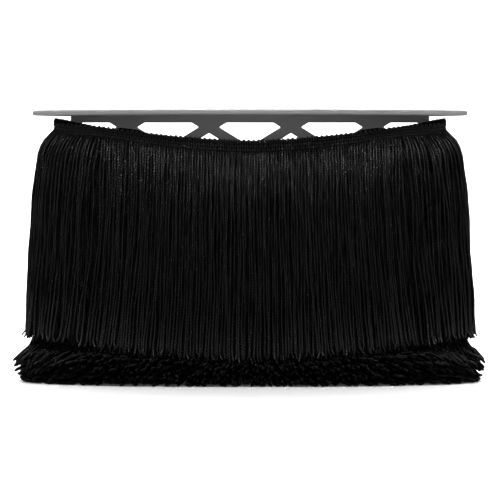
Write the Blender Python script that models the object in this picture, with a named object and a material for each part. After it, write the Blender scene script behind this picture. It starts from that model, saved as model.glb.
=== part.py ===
"""Chainette fringe trim wound on a flat plastic reel that stands on its lower end plate.

Metres, +Z up. The origin is the middle of the reel's foot, +X runs along the reel's length and -Y
is the front. The wound trim is an oval in plan, so every ring is a superellipse with a half length
along X and a half depth along Y, and a place round it is a share of its girth, counted from its +X
end.
"""

import functools
import math
import random
import typing

import bmesh
import bpy
import numpy

CLEARANCE = 0.0003
MERGE_DISTANCE = 0.00002

REEL_HEIGHT = 0.1866
PLATE_HALF_LENGTH = 0.150
PLATE_HALF_DEPTH = 0.034
PLATE_THICKNESS = 0.0036
PLATE_EDGE_RADIUS = 0.0010
PLATE_SIDES = 48

BOARD_WIDTH = 0.2467
BOARD_THICKNESS = 0.006
RAIL_HEIGHT = 0.0048
END_POST_WIDTH = 0.0076
NODE_PITCH = 0.0565
NECK_WIDTH = 0.014
NECK_DROP = 0.0031
WINDOW_CHAMFER = 0.005
STRUT_SLOPE = 0.612
STRUT_DEPTH = 0.0083
END_WINDOW_DEPTH = 0.0102
TRIANGLE_DEPTH = 0.0071
WINDOW_CORNER_RADIUS = 0.0016

# The heading is the crocheted band at the top of the trim. It sags between the reel's ends.
TRIM_LENGTH = 0.151
HEADING_HEIGHT = 0.0084
HEADING_END_TOP = 0.1805
HEADING_SAG = 0.0131
SAG_POWER = 1.6
HEADING_HALF_LENGTH = 0.1335
HEADING_HALF_DEPTH = 0.0245
HEADING_SQUARENESS = 2.1
HEADING_INSIDE = -0.0011
HEADING_SECTION = (
    # (out from the middle of the band, down from its top edge), anticlockwise from the bulge
    (0.0015, 0.0042),
    (0.0009, 0.0),
    (HEADING_INSIDE, 0.0),
    (HEADING_INSIDE, HEADING_HEIGHT),
    (0.0010, HEADING_HEIGHT),
)

# A lock stands for a few strands. It fills a share of its cell of the band, drifts along the
# girth by up to SWAY cells, bellies in or out by BILLOW and ends up to RAGGED high or low.
LOCKS = 112
LOCK_FILL = 0.80
LOCK_HALF_THICKNESS = 0.0012
LOCK_ROOT_INSET = 0.00035
SWAY = 0.05
BILLOW = 0.0006
RAGGED = 0.0018
SEED = 11

CURTAIN = (
    # (down from the heading's top edge, half length, half depth, squareness) of the outer face
    (0.0110, 0.1372, 0.0272, 2.1),
    (0.0190, 0.1440, 0.0302, 2.2),
    (0.0340, 0.1478, 0.0335, 2.2),
    (0.0900, 0.1525, 0.0370, 2.2),
    (TRIM_LENGTH, 0.1558, 0.0400, 2.3),
)

ROLL_SQUARENESS = 2.2
ROLL_INSIDE_CURTAIN = 0.0044
ROLL_DROPS = (0.120, 0.060, 0.034, 0.020)
ROLL_SHOULDER_DROP = 0.0098
ROLL_TOP_DROP = 0.0024
ROLL_FOOT = (0.142, 0.0285)
ROLL_WAIST = (0.1465, 0.0315)
ROLL_HIP = (0.1502, 0.0346)
WAIST_LOW = 0.010
WAIST_HIGH = 0.036
HIP_HEIGHT = 0.042
RIDGES = 4
RIDGE_DEPTH = 0.0020
CORE_HALF_LENGTH = 0.125
CORE_HALF_DEPTH = 0.006

# The inner turns' ends are four strips, anticlockwise from the +X end.
STRIPS = ("right", "back", "left", "front")
STRIP_TOP = 0.0345
STRIP_BOTTOM = 0.0300
STRIP_THICKNESS = 0.0018
LYING = math.radians(90)
RAISED_END = (
    # (half length, half depth, share of the hem's height, squareness, lean, share of a cell filled)
    (0.1504, 0.0349, 0.85, 2.3, math.radians(25), 0.80),
    (0.1575, 0.0424, 0.62, 2.5, math.radians(45), 1.25),
    (0.1622, 0.0468, 0.40, 2.6, math.radians(45), 1.60),
)
FLOOR_END = (
    (0.1520, 0.0366, 0.58, 2.3, math.radians(15), 0.80),
    (0.1545, 0.0410, 0.0, 2.5, LYING, 1.30),
    (0.1580, 0.0472, 0.0, 2.6, LYING, 1.65),
)


class Oval(typing.NamedTuple):
    """A superellipse: squareness 2 is an ellipse, and more of it is nearer a rectangle."""

    half_length: float
    half_depth: float
    squareness: float

    def grown(self, out):
        return Oval(self.half_length + out, self.half_depth + out, self.squareness)

    def at(self, share):
        """The point (x, y) that lies this share of the girth from the +X end."""
        walked, x, y = walk_round(self)
        share = share % 1
        return float(numpy.interp(share, walked, x)), float(numpy.interp(share, walked, y))


class Section(typing.NamedTuple):
    """One cross-section of a lock. A lean of 0 hangs, and one of 90 degrees lies flat."""

    oval: Oval
    share: float
    height: float
    lean: float
    fill: float


HEADING = Oval(HEADING_HALF_LENGTH, HEADING_HALF_DEPTH, HEADING_SQUARENESS)
WAIST = Oval(*ROLL_WAIST, ROLL_SQUARENESS)


@functools.lru_cache(maxsize=None)
def walk_round(oval):
    """Fine points round the oval, with the share of its girth walked at each."""
    angles = numpy.linspace(0, 2 * math.pi, 2881)
    cosine, sine = numpy.cos(angles), numpy.sin(angles)
    x = oval.half_length * numpy.sign(cosine) * numpy.abs(cosine) ** (2 / oval.squareness)
    y = oval.half_depth * numpy.sign(sine) * numpy.abs(sine) ** (2 / oval.squareness)
    steps = numpy.hypot(numpy.diff(x, prepend=x[0]), numpy.diff(y, prepend=y[0]))
    walked = numpy.cumsum(steps)
    return walked / walked[-1], x, y


def heading_top(share):
    """Height of the heading's sagging top edge, lowest at the middle of the front and back."""
    x, _ = HEADING.at(share)
    return HEADING_END_TOP - HEADING_SAG * (1 - abs(x / HEADING_HALF_LENGTH) ** SAG_POWER)


def inside_curtain(drop):
    """The roll's oval this far below the heading's top, set in from the curtain's outer face."""
    drops, lengths, depths, _ = zip(*CURTAIN)
    length = float(numpy.interp(drop, drops, lengths))
    depth = float(numpy.interp(drop, drops, depths))
    return Oval(length, depth, ROLL_SQUARENESS).grown(-ROLL_INSIDE_CURTAIN)


def paint(name, colour, roughness):
    material = bpy.data.materials.new(name)
    material.use_nodes = True
    shader = material.node_tree.nodes["Principled BSDF"]
    shader.inputs["Base Color"].default_value = (*colour, 1.0)
    shader.inputs["Roughness"].default_value = roughness
    shader.inputs["Metallic"].default_value = 0.0
    return material


def collection_named(name):
    made = bpy.data.collections.new(name)
    bpy.context.scene.collection.children.link(made)
    return made


def place_in(collection, obj, name, material=None):
    obj.name = name
    obj.data.name = name
    for other in obj.users_collection:
        other.objects.unlink(obj)
    collection.objects.link(obj)
    if material:
        obj.data.materials.append(material)
    return obj


def flat_outline(name, loops, thickness):
    """A flat piece drawn as one 2D curve: its outline first, then the loops cut through it."""
    outline = bpy.data.curves.new(name, "CURVE")
    for loop in loops:
        spline = outline.splines.new("POLY")
        spline.points.add(len(loop) - 1)
        for point, (across, up) in zip(spline.points, loop):
            point.co = (across, up, 0, 1)
        spline.use_cyclic_u = True
    outline.dimensions = "2D"
    outline.fill_mode = "BOTH"
    outline.extrude = thickness / 2
    return bpy.data.objects.new(name, outline)


def end_plate(collection, name, material, base):
    """An oval plate with rounded edges."""
    oval = Oval(PLATE_HALF_LENGTH, PLATE_HALF_DEPTH, 2.0)
    loop = [oval.at(step / PLATE_SIDES) for step in range(PLATE_SIDES)]
    obj = flat_outline(name, [loop], PLATE_THICKNESS - 2 * PLATE_EDGE_RADIUS)
    obj.data.bevel_depth = PLATE_EDGE_RADIUS
    obj.data.bevel_resolution = 1
    obj.data.offset = -PLATE_EDGE_RADIUS
    obj.location.z = base + PLATE_THICKNESS / 2
    return place_in(collection, obj, name, material)


def rounded(corners, radius):
    """The outline's corners, given anticlockwise, with a three-point arc in place of each."""
    points = []
    for index, corner in enumerate(corners):
        here = numpy.array(corner)
        before = numpy.array(corners[index - 1]) - here
        after = numpy.array(corners[(index + 1) % len(corners)]) - here
        before /= numpy.linalg.norm(before)
        after /= numpy.linalg.norm(after)
        half_angle = math.acos(float(numpy.clip(before @ after, -1, 1))) / 2
        reach = radius / math.tan(half_angle)
        start, end = here + before * reach, here + after * reach
        to_middle = (before + after) / numpy.linalg.norm(before + after)
        middle = here + to_middle * (radius / math.sin(half_angle) - radius)
        points += [start, middle, end]
    return points


def board_windows():
    """The outlines cut through the board: three wide windows, two at its ends, two triangles."""
    top = REEL_HEIGHT - PLATE_THICKNESS - RAIL_HEIGHT
    neck = top - NECK_DROP
    reach = (NODE_PITCH - NECK_WIDTH) / 2
    flat = reach - WINDOW_CHAMFER
    low = neck - reach * STRUT_SLOPE
    wide = [(flat, top), (-flat, top), (-reach, neck), (0, low), (reach, neck)]

    outer = BOARD_WIDTH / 2 - END_POST_WIDTH
    inner = 1.5 * NODE_PITCH + NECK_WIDTH / 2
    sill = top - END_WINDOW_DEPTH
    foot = inner + (neck - sill) / STRUT_SLOPE
    chamfer = inner + WINDOW_CHAMFER
    end = [(outer, top), (chamfer, top), (inner, neck), (foot, sill), (outer, sill)]

    apex = neck + STRUT_SLOPE * NECK_WIDTH / 2 - STRUT_DEPTH
    base = apex - TRIANGLE_DEPTH
    half_base = TRIANGLE_DEPTH / STRUT_SLOPE
    triangle = [(0, apex), (-half_base, base), (half_base, base)]

    outlines = [moved(wide, place * NODE_PITCH) for place in (-1, 0, 1)]
    outlines += [moved(triangle, side * NODE_PITCH / 2) for side in (-1, 1)]
    outlines += [end, [(-x, z) for x, z in reversed(end)]]
    return outlines


def moved(corners, along):
    return [(x + along, z) for x, z in corners]


def reel_board(collection, material):
    """The board as one flat outline with its windows, stood up on the lower plate."""
    low = PLATE_THICKNESS + CLEARANCE
    high = REEL_HEIGHT - PLATE_THICKNESS - CLEARANCE
    half = BOARD_WIDTH / 2
    loops = [[(-half, low), (half, low), (half, high), (-half, high)]]
    loops += [rounded(corners, WINDOW_CORNER_RADIUS) for corners in board_windows()]
    obj = flat_outline("reel_board", loops, BOARD_THICKNESS)
    obj.rotation_euler.x = math.radians(90)
    return place_in(collection, obj, "reel_board", material)


def roll_rings():
    """(oval, drop below the heading's top or None, height) up the outside, then inward."""
    outside = HEADING.grown(HEADING_INSIDE - CLEARANCE)
    base = PLATE_THICKNESS + CLEARANCE
    foot = Oval(*ROLL_FOOT, ROLL_SQUARENESS)
    rings = [
        (Oval(foot.half_length - foot.half_depth, 0.0, ROLL_SQUARENESS), None, base),
        (foot, None, base),
        (WAIST, None, WAIST_LOW),
        (WAIST, None, WAIST_HIGH),
        (Oval(*ROLL_HIP, ROLL_SQUARENESS), None, HIP_HEIGHT),
    ]
    rings += [(inside_curtain(drop), drop, None) for drop in ROLL_DROPS]
    rings.append((outside, ROLL_SHOULDER_DROP, None))
    for step in range(2 * RIDGES + 1):
        inward = step / (2 * RIDGES)
        length = outside.half_length + (CORE_HALF_LENGTH - outside.half_length) * inward
        depth = outside.half_depth + (CORE_HALF_DEPTH - outside.half_depth) * inward
        crest = Oval(length, depth, HEADING_SQUARENESS)
        rings.append((crest, ROLL_TOP_DROP + RIDGE_DEPTH * (step % 2), None))
    middle = Oval(CORE_HALF_LENGTH - CORE_HALF_DEPTH / 2, 0.0, HEADING_SQUARENESS)
    rings.append((middle, ROLL_TOP_DROP, None))
    return rings


def inner_turns(collection, cutters, material):
    """The turns under the last one: a lofted oval with a ridged top, cut out round the board.

    The first and last rings have no depth, so that merging their points closes the ends.
    """
    mesh = bmesh.new()
    share = mesh.verts.layers.float.new("share")
    count = LOCKS // 2
    ring = bmesh.ops.create_circle(mesh, segments=count, radius=1)["verts"]
    for index, vert in enumerate(ring):
        vert[share] = index / count
    edges = mesh.edges[:]
    for step, (oval, drop, height) in enumerate(roll_rings()):
        if step:
            made = bmesh.ops.extrude_edge_only(mesh, edges=edges)["geom"]
            ring = [item for item in made if isinstance(item, bmesh.types.BMVert)]
            drawn = [item for item in made if isinstance(item, bmesh.types.BMEdge)]
            edges = [edge for edge in drawn if all(vert in ring for vert in edge.verts)]
        for vert in ring:
            level = height if drop is None else heading_top(vert[share]) - drop
            vert.co = (*oval.at(vert[share]), level)
    bmesh.ops.remove_doubles(mesh, verts=mesh.verts, dist=MERGE_DISTANCE)
    bmesh.ops.recalc_face_normals(mesh, faces=mesh.faces)
    data = bpy.data.meshes.new("inner_turns")
    mesh.to_mesh(data)
    mesh.free()
    roll = place_in(collection, bpy.data.objects.new("inner_turns", data), "inner_turns", material)
    cut = roll.modifiers.new("board_space", "BOOLEAN")
    cut.object = board_space(cutters)
    return roll


def board_space(cutters):
    """The board's own space in the roll, with its clearance."""
    bpy.ops.mesh.primitive_cube_add(size=1)
    space = place_in(cutters, bpy.context.object, "board_space")
    width = BOARD_WIDTH + 2 * CLEARANCE
    thickness = BOARD_THICKNESS + 2 * CLEARANCE
    for vert in space.data.vertices:
        vert.co = (vert.co.x * width, vert.co.y * thickness, (vert.co.z + 0.5) * REEL_HEIGHT)
    space.hide_render = True
    space.display_type = "WIRE"
    return space


def band(collection, name, material, corners):
    """A ring with a cell for each lock. Each corner of its section is (oval, height at a share).

    The corners run anticlockwise, and the last two are the inner and outer ones of its underside.
    """
    sides = len(corners)
    bpy.ops.mesh.primitive_torus_add(major_segments=LOCKS, minor_segments=sides, major_radius=1)
    obj = place_in(collection, bpy.context.object, name, material)
    for index, vert in enumerate(obj.data.vertices):
        share = index // sides / LOCKS
        oval, height = corners[index % sides]
        vert.co = (*oval.at(share), height(share))
    return obj


def hang_locks(obj, sides, plans):
    """Draws a separate four-sided lock from the underside of each cell that has a plan.

    plans maps a cell to its list of Sections, from root to tip. Cells without one are cut away.
    """
    mesh = bmesh.new()
    mesh.from_mesh(obj.data)
    cell = mesh.faces.layers.int.new("cell")
    side = mesh.verts.layers.int.new("side")
    outer = mesh.verts.layers.int.new("outer")
    mesh.verts.index_update()
    faces = list(mesh.faces)
    roots = []
    marks = []
    for index in plans:
        root = faces[index * sides + sides - 2]
        root[cell] = index
        ahead = [vert.index // sides == (index + 1) % LOCKS for vert in root.verts]
        outward = [vert.index % sides == sides - 1 for vert in root.verts]
        roots.append(root)
        marks.append(list(zip(ahead, outward)))
    spare = [face for index, face in enumerate(faces) if index // sides not in plans]
    bmesh.ops.delete(mesh, geom=spare, context="FACES")
    close_ends(mesh, sides)
    bmesh.ops.inset_individual(mesh, faces=roots, thickness=LOCK_ROOT_INSET)
    for face, corners in zip(roots, marks):
        for vert, (ahead, outward) in zip(face.verts, corners):
            vert[side] = 1 if ahead else -1
            vert[outer] = 1 if outward else -1
    tips = roots
    for step in range(len(plans[roots[0][cell]])):
        tips = bmesh.ops.extrude_discrete_faces(mesh, faces=tips)["faces"]
        for face in tips:
            section = plans[face[cell]][step]
            for vert in face.verts:
                out = vert[outer] * LOCK_HALF_THICKNESS * math.cos(section.lean)
                up = vert[outer] * LOCK_HALF_THICKNESS * math.sin(section.lean)
                share = section.share + vert[side] * section.fill / 2 / LOCKS
                vert.co = (*section.oval.grown(out).at(share), section.height + up)
    mesh.to_mesh(obj.data)
    mesh.free()


def close_ends(mesh, sides):
    """Caps a strip cut out of a band, and draws its ends back from its neighbours' ends."""
    rims = [edge for edge in mesh.edges if edge.is_boundary]
    for vert in {vert for edge in rims for vert in edge.verts}:
        inward = next(edge for edge in vert.link_edges if edge not in rims)
        vert.co += (inward.other_vert(vert).co - vert.co).normalized() * CLEARANCE
    bmesh.ops.holes_fill(mesh, edges=rims, sides=sides)


def hanging_lock(index, shake):
    """One lock of the curtain, from under the heading to the ragged hem."""
    share = (index + 0.5) / LOCKS
    drift = shake.uniform(-SWAY, SWAY) / LOCKS
    billow = shake.uniform(-BILLOW, BILLOW)
    ragged = shake.uniform(-RAGGED, RAGGED)
    plan = []
    for drop, *size in CURTAIN:
        down = (drop - HEADING_HEIGHT) / (TRIM_LENGTH - HEADING_HEIGHT)
        oval = Oval(*size).grown(billow * down - LOCK_HALF_THICKNESS)
        height = heading_top(share) - drop + ragged * down
        plan.append(Section(oval, share + drift * down, height, 0.0, LOCK_FILL))
    return plan


def outer_turn(collection, material):
    """The last turn: the heading band and its curtain of hanging locks."""
    shake = random.Random(SEED)
    corners = [
        (HEADING.grown(out), lambda share, drop=drop: heading_top(share) - drop)
        for out, drop in HEADING_SECTION
    ]
    obj = band(collection, "outer_turn", material, corners)
    hang_locks(obj, len(corners), {index: hanging_lock(index, shake) for index in range(LOCKS)})
    return obj


def splayed_lock(index, shake):
    """One of the inner turns' ends: every other one is raised, and the rest lie on the table."""
    share = (index + 0.5) / LOCKS
    hem = heading_top(share) - TRIM_LENGTH
    drift = shake.uniform(-SWAY, SWAY) / LOCKS
    billow = shake.uniform(-BILLOW, BILLOW)
    table = RAISED_END if index % 2 else FLOOR_END
    plan = []
    for step, (half_length, half_depth, level, squareness, lean, fill) in enumerate(table):
        along = step / (len(table) - 1)
        oval = Oval(half_length, half_depth, squareness).grown(billow * along)
        height = LOCK_HALF_THICKNESS if lean == LYING else hem * level
        plan.append(Section(oval, share + drift * along, height, lean, fill))
    return plan


def splayed_ends(collection, material):
    """The inner turns' ends: hidden strips round the waist, and locks that spread to the table."""
    shake = random.Random(SEED + 1)
    plans = {index: splayed_lock(index, shake) for index in range(LOCKS)}
    inside, outside = WAIST.grown(CLEARANCE), WAIST.grown(CLEARANCE + STRIP_THICKNESS)
    corners = [
        (outside, lambda share: STRIP_TOP),
        (inside, lambda share: STRIP_TOP),
        (inside, lambda share: STRIP_BOTTOM),
        (outside, lambda share: STRIP_BOTTOM),
    ]
    cells = LOCKS // len(STRIPS)
    for place, side in enumerate(STRIPS):
        first = place * cells - cells // 2
        strip = [(first + step) % LOCKS for step in range(cells)]
        obj = band(collection, f"splayed_ends_{side}", material, corners)
        hang_locks(obj, len(corners), {index: plans[index] for index in strip})


def main():
    for obj in list(bpy.data.objects):
        bpy.data.objects.remove(obj)
    trim = collection_named("chainette_fringe_trim")
    cutters = collection_named("cutters")
    plastic = paint("moulded_plastic", (0.28, 0.28, 0.28), 0.45)
    yarn = paint("rayon_yarn", (0.006, 0.006, 0.006), 0.6)
    end_plate(trim, "reel_end_bottom", plastic, 0.0)
    end_plate(trim, "reel_end_top", plastic, REEL_HEIGHT - PLATE_THICKNESS)
    reel_board(trim, plastic)
    inner_turns(trim, cutters, yarn)
    outer_turn(trim, yarn)
    splayed_ends(trim, yarn)


main()
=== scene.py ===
import functools
import math
import typing

import bmesh
import bpy
import mathutils
import numpy
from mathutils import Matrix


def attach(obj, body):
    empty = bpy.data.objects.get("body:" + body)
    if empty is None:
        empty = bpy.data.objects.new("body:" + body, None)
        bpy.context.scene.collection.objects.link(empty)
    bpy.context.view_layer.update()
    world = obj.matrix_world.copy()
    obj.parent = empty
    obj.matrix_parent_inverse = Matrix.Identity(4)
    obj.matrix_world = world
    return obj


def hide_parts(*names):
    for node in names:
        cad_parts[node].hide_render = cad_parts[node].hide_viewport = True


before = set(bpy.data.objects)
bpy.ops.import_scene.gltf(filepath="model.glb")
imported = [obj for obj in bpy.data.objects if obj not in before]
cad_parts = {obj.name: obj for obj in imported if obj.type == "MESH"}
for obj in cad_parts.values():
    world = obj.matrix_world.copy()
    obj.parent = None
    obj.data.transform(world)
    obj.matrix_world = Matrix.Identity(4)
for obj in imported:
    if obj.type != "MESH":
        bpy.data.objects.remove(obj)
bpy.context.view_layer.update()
print("frame loaded")


def newObject(name, data):
    obj = bpy.data.objects.new(name, data)
    bpy.context.scene.collection.objects.link(obj)
    return obj


def meshFrom(mesh, name, *materials):
    data = bpy.data.meshes.new(name)
    mesh.to_mesh(data)
    mesh.free()
    for material in materials:
        data.materials.append(material)
    return data


# Camera, stage and lights

cameraSettings = {
    "place": (0.0, -1.45, 0.1366),
    "lookAt": (0.0, 0.0, 0.0904),
    "lens": 151.3,  # mm, on Blender's 36 mm sensor
}


def addCamera(settings):
    camera = newObject("camera", bpy.data.cameras.new("camera"))
    camera.data.lens = settings["lens"]
    camera.data.clip_start = 0.1
    camera.location = settings["place"]
    across = [end - start for start, end in zip(settings["place"], settings["lookAt"])]
    camera.rotation_euler.x = math.radians(90) + math.atan2(across[2], across[1])
    bpy.context.scene.camera = camera


addCamera(cameraSettings)

stageSettings = {
    "halfWidth": 3.0,
    "front": -3.0,
    "back": 1.2,  # where the paper starts to turn up
    "turnRadius": 0.7,
    "turnSteps": 16,
    "height": 2.6,
    "paper": "ececec",
    "glow": 0.04,  # the paper is lit from below too, as on a light table, so that its shadows stay pale
    "sky": 0.08,
}

softboxes = [
    {"name": "overhead", "place": (0.0, 0.3, 1.5), "aim": (0.0, 0.3, 0.0), "size": (2.4, 1.6), "power": 50},
    {
        # it has a grid, so it lights the heading most and leaves the table out
        "name": "key", "place": (0.0, -0.22, 0.66), "aim": (0.0, -0.02, 0.17), "size": (0.44, 0.10),
        "power": 0.100, "spread": 15,
    },
    {"name": "front", "place": (0.0, -1.7, 0.60), "aim": (0.0, 0.0, 0.12), "size": (0.6, 0.5), "power": 3.6},
    {"name": "backdrop", "place": (0.0, 0.9, 1.3), "aim": (0.0, 1.6, 0.4), "size": (3.0, 0.5), "power": 55},
]


def linear(hexColour):
    # an sRGB hex colour as the linear RGBA that the shaders take
    channels = [int(hexColour[start:start + 2], 16) / 255 for start in (0, 2, 4)]
    return [c / 12.92 if c <= 0.04045 else ((c + 0.055) / 1.055) ** 2.4 for c in channels] + [1.0]


def addNode(tree, kind, settings, inputs):
    # settings are the node's own properties; an input is a value, or the output that is linked to it
    node = tree.nodes.new(kind)
    for name, value in settings.items():
        setattr(node, name, value)
    for key, value in inputs.items():
        if isinstance(value, bpy.types.NodeSocket):
            tree.links.new(value, node.inputs[key])
        else:
            node.inputs[key].default_value = value
    return node


def newMaterial(name):
    material = bpy.data.materials.new(name)
    material.use_nodes = True
    return material, material.node_tree, material.node_tree.nodes["Principled BSDF"]


def addStage(settings):
    mesh = bmesh.new()
    turn = settings["turnRadius"]
    profile = [(settings["front"], 0.0)]
    for step in range(settings["turnSteps"] + 1):
        angle = math.radians(90) * step / settings["turnSteps"]
        profile.append((settings["back"] + turn * math.sin(angle), turn * (1 - math.cos(angle))))
    profile.append((settings["back"] + turn, settings["height"]))
    rows = [
        [mesh.verts.new((side * settings["halfWidth"], y, z)) for side in (-1, 1)]
        for y, z in profile
    ]
    for low, high in zip(rows, rows[1:]):
        mesh.faces.new((low[0], low[1], high[1], high[0]))
    material, _, shader = newMaterial("matte_white_paper")
    shader.inputs["Base Color"].default_value = linear(settings["paper"])
    shader.inputs["Roughness"].default_value = 0.9
    shader.inputs["Specular IOR Level"].default_value = 0.1
    shader.inputs["Emission Color"].default_value = (1, 1, 1, 1)
    shader.inputs["Emission Strength"].default_value = settings["glow"]
    data = meshFrom(mesh, "studio_paper", material)
    data.shade_smooth()
    paper = newObject("studio_paper", data)
    paper.visible_glossy = False  # the black yarn doesn't mirror the white paper
    world = bpy.data.worlds.new("soft_white_studio")
    world.use_nodes = True
    world.node_tree.nodes["Background"].inputs["Strength"].default_value = settings["sky"]
    world.node_tree.nodes["Background"].inputs["Color"].default_value = (1, 1, 1, 1)
    bpy.context.scene.world = world
    bpy.context.scene.view_settings.view_transform = "Standard"


def addSoftbox(settings):
    light = bpy.data.lights.new(settings["name"], "AREA")
    light.shape = "RECTANGLE"
    light.size, light.size_y = settings["size"]
    light.energy = settings["power"]
    light.spread = math.radians(settings.get("spread", 180))
    box = newObject(settings["name"], light)
    box.location = settings["place"]
    toAim = [end - start for start, end in zip(settings["place"], settings["aim"])]
    flat = math.hypot(toAim[0], toAim[1])
    box.rotation_euler = (math.atan2(flat, -toAim[2]), 0, math.atan2(-toAim[0], toAim[1]))


addStage(stageSettings)
for softbox in softboxes:
    addSoftbox(softbox)
print("camera, stage and lights made")


# Materials

plastic = {
    "colour": "8f8f90",
    "roughness": 0.42,
    "grainSize": 0.35,  # mm
    "cloudSize": 26.0,  # mm
    "cloudContrast": 0.08,
}
yarn = {
    "dark": "030303",
    "pale": "090909",
    "roughness": 0.42,
    "chainPitch": 2.0,  # mm along the strand from one chain loop to the next; the real one is near 1.5
    "filamentSize": 0.35,  # mm; real filaments are far finer than a render shows
}


def mouldedPlastic(settings):
    # injection-moulded polystyrene: an even grey with a satin surface, faint flow clouds and a fine grain
    material, tree, shader = newMaterial("moulded_polystyrene")
    place = addNode(tree, "ShaderNodeTexCoord", {}, {}).outputs["Object"]
    clouds = addNode(
        tree, "ShaderNodeTexNoise", {},
        {"Vector": place, "Scale": 1000 / settings["cloudSize"], "Detail": 3.0},
    ).outputs["Fac"]
    grain = addNode(
        tree, "ShaderNodeTexNoise", {},
        {"Vector": place, "Scale": 1000 / settings["grainSize"], "Detail": 2.0},
    ).outputs["Fac"]
    base = linear(settings["colour"])
    tint = addNode(tree, "ShaderNodeMix", {"data_type": "RGBA"}, {
        "Factor": clouds,
        6: [channel * (1 - settings["cloudContrast"]) for channel in base[:3]] + [1],
        7: [channel * (1 + settings["cloudContrast"]) for channel in base[:3]] + [1],
    }).outputs[2]
    gloss = addNode(tree, "ShaderNodeMapRange", {}, {
        "Value": clouds,
        "To Min": settings["roughness"] - 0.05,
        "To Max": settings["roughness"] + 0.07,
    }).outputs["Result"]
    relief = addNode(
        tree, "ShaderNodeBump", {}, {"Strength": 0.12, "Distance": 0.0001, "Height": grain}
    ).outputs["Normal"]
    tree.links.new(tint, shader.inputs["Base Color"])
    tree.links.new(gloss, shader.inputs["Roughness"])
    tree.links.new(relief, shader.inputs["Normal"])
    return material


def chainetteYarn(name, settings, relief, gloss, paintedLight=None):
    # rayon chainette: a knitted cord, black with a soft lustre, whose chain loops catch the light in rows
    # the attributes say how far along its strand a point is in mm, on which side, and the strand's own tone
    material, tree, shader = newMaterial(name)
    along = addNode(tree, "ShaderNodeAttribute", {"attribute_name": "alongMm"}, {}).outputs["Fac"]
    side = addNode(tree, "ShaderNodeAttribute", {"attribute_name": "side"}, {}).outputs["Fac"]
    tone = addNode(tree, "ShaderNodeAttribute", {"attribute_name": "tone"}, {}).outputs["Fac"]
    place = addNode(tree, "ShaderNodeTexCoord", {}, {}).outputs["Object"]
    filaments = addNode(
        tree, "ShaderNodeTexNoise", {},
        {"Vector": place, "Scale": 1000 / settings["filamentSize"], "Detail": 2.0},
    ).outputs["Fac"]
    loops = addNode(
        tree, "ShaderNodeMath", {"operation": "MULTIPLY"}, {0: along, 1: 1 / settings["chainPitch"]}
    ).outputs[0]
    shifted = addNode(
        tree, "ShaderNodeMath", {"operation": "MULTIPLY_ADD"}, {0: side, 1: 0.5, 2: loops}
    ).outputs[0]
    chain = addNode(
        tree, "ShaderNodeMath", {"operation": "PINGPONG"}, {0: shifted, 1: 0.5}
    ).outputs[0]
    height = addNode(
        tree, "ShaderNodeMath", {"operation": "MULTIPLY_ADD"}, {0: filaments, 1: 0.06, 2: chain}
    ).outputs[0]
    # the base colour is painted paler on each chain loop and darker between loops, a painted highlight and
    # shade beside the bump, and it also follows each strand's own random tone
    paintedLoopLightAndTone = addNode(
        tree, "ShaderNodeMath", {"operation": "MULTIPLY_ADD"}, {0: chain, 1: 1.2, 2: tone}
    ).outputs[0]
    paintedLoopLightAndTone = addNode(tree, "ShaderNodeMath", {"operation": "MULTIPLY"}, {0: paintedLoopLightAndTone, 1: 0.62}).outputs[0]
    shade = addNode(tree, "ShaderNodeMix", {"data_type": "RGBA"}, {
        "Factor": paintedLoopLightAndTone, 6: linear(settings["dark"]), 7: linear(settings["pale"]),
    }).outputs[2]
    if paintedLight:
        # painted light and shade: the yarn is painted paler by a colour, from one value of an attribute to
        # another
        label, start, end, paintedTint = paintedLight
        value = addNode(tree, "ShaderNodeAttribute", {"attribute_name": label}, {}).outputs["Fac"]
        share = addNode(
            tree, "ShaderNodeMapRange", {}, {"Value": value, "From Min": start, "From Max": end}
        ).outputs["Result"]
        shade = addNode(tree, "ShaderNodeMix", {"data_type": "RGBA", "blend_type": "ADD"}, {
            "Factor": share, 6: shade, 7: linear(paintedTint),
        }).outputs[2]
    bump = addNode(
        tree, "ShaderNodeBump", {}, {"Strength": relief, "Distance": 0.0006, "Height": height}
    ).outputs["Normal"]
    tree.links.new(shade, shader.inputs["Base Color"])
    tree.links.new(bump, shader.inputs["Normal"])
    shader.inputs["Roughness"].default_value = settings["roughness"]
    shader.inputs["IOR"].default_value = 1.53
    shader.inputs["Specular IOR Level"].default_value = gloss
    return material


polystyrene = mouldedPlastic(plastic)
# towards its cut end a strand is painted paler: a painted highlight on the hem, where the tips catch the
# light
strandYarn = chainetteYarn(
    "rayon_chainette", yarn, relief=0.9, gloss=0.40, paintedLight=("alongMm", 118.0, 150.0, "1e1e1e")
)
# a dimmer copy of the chainette yarn: painted shade for the strands under the outer ones, which lie in their
# shade
innerYarn = chainetteYarn("rayon_inner_strands", yarn, relief=0.9, gloss=0.13)
# the picots on top are painted darker than the heading below them: painted shade, where the top plate shades
# them
headingYarn = chainetteYarn(
    "rayon_crochet", yarn, relief=0.9, gloss=0.85, paintedLight=("share", 0.16, 0.34, "181818")
)
# crushed and cut ends shine less, and their low gloss is partly painted shade from the curtain over them;
# near their roots they are painted darker still, painted shade where they come out from under the curtain
frayedYarn = chainetteYarn(
    "rayon_frayed_ends", yarn, relief=0.9, gloss=0.10, paintedLight=("alongMm", 20.0, 40.0, "101010")
)
# it stands for many layers of yarn that trap the light
shadedYarn = chainetteYarn("rayon_shaded_turns", yarn, relief=0.5, gloss=0.05)
print("materials made")


# Ovals round the reel. A share is how far round an oval a point lies, from 0 to 1, from its +X end.

heading = {
    "halfLength": 0.1335,
    "halfDepth": 0.0245,
    "squareness": 2.1,
    "height": 0.0084,
    "endTop": 0.1806,
    "sag": 0.0148,
    "sagPower": 1.62,
    "trimLength": 0.151,
    # towards the reel's ends the heading is drawn together, over these distances from the middle
    "squeeze": 0.14,
    "squeezed": (0.04, 0.09),
}


class Oval(typing.NamedTuple):
    halfLength: float
    halfDepth: float
    squareness: float

    def grown(self, out):
        return Oval(self.halfLength + out, self.halfDepth + out, self.squareness)


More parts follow.
